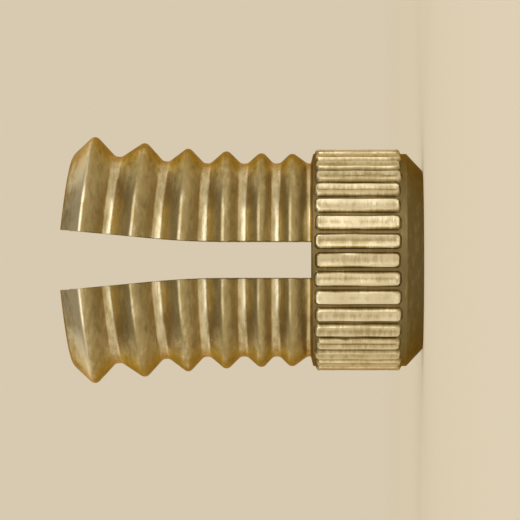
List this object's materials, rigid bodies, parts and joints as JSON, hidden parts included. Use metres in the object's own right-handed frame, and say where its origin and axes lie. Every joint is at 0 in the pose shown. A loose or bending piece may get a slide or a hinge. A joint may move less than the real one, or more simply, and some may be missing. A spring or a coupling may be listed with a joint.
{
  "type": "brass expansion anchor",
  "caption": "Brass expansion anchor for wood: knurled collar, ring barbs and two sawn halves spread open, with an internal thread for a machine screw.",
  "frame": {"origin": "centre of the collar's mouth face, which the anchor stands on", "axes": "+Z along the bore, from the mouth to the splayed tips; the saw slot lies on the YZ plane and the halves splay along X"},
  "size_m": [0.019, 0.0174, 0.0275],
  "materials": {
    "brass": "machined, satin with bright crests"
  },
  "bodies": {
    "root": {"anchor_sleeve": "brass"}
  },
  "joints": []
}
